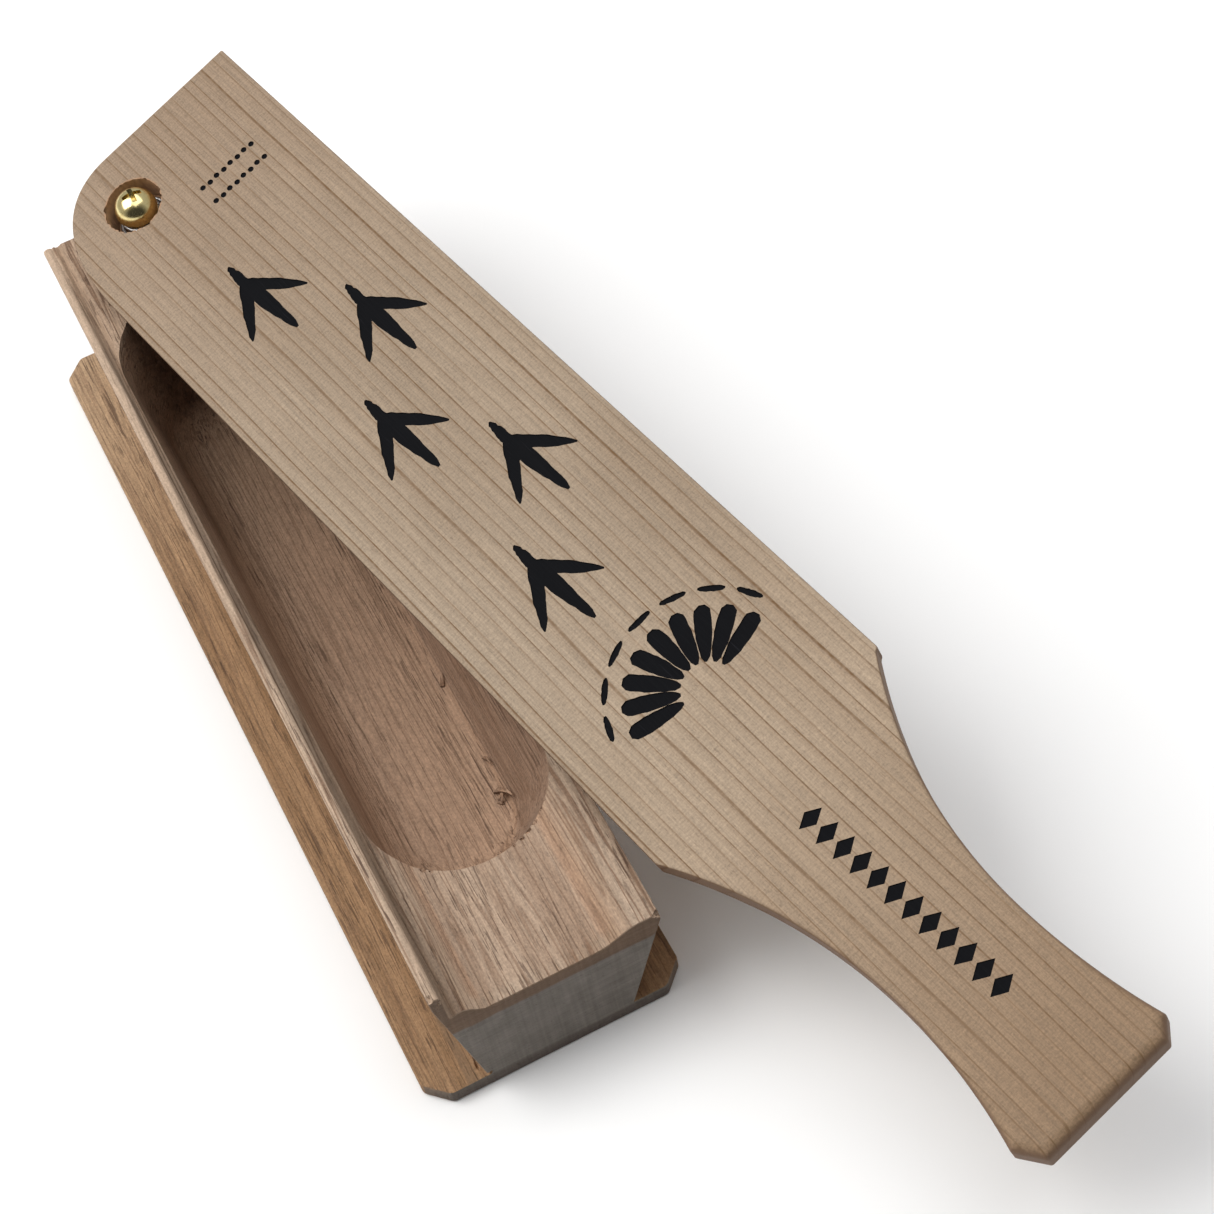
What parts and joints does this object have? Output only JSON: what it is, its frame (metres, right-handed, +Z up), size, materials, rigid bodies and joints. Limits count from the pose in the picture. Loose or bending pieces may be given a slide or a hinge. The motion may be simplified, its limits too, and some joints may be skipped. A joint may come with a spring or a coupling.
{
  "type": "box turkey call",
  "caption": "Wooden box call: a milled sound box with one raised lip, and a paddle lid that swings and rocks on a sprung brass pivot screw.",
  "frame": {"origin": "centre of the base's underside, on the surface the call stands on", "axes": "+X along the box from the pivot end to the handle end, +Y across it to the low-walled side, +Z up"},
  "size_m": [0.286, 0.1099, 0.0567],
  "materials": {
    "box_wood": "open-pored brown hardwood, milled and unfinished",
    "lid_wood": "pale straight-grained wood, sanded",
    "polished_brass": "polished",
    "spring_steel": "drawn wire"
  },
  "bodies": {
    "box": {"sound_box": "box_wood", "pivot_screw": "polished_brass"},
    "spring": {"tension_spring": "spring_steel"},
    "lid": {"lid_paddle": "lid_wood"}
  },
  "joints": [
    {"name": "lid_swing", "type": "hinge", "parent": "box", "child": "spring", "pos_m": [-0.0917, 0.0009, 0.0444], "axis": [0, 0, 1], "range_deg": [-12.9, 60]},
    {"name": "lid_rock", "type": "hinge", "parent": "spring", "child": "lid", "pos_m": [-0.0917, 0.0009, 0.04501], "axis": [0.9739, 0.2238, -0.0388], "range_deg": [-15.1, 0], "deforming": ["tension_spring"]}
  ]
}
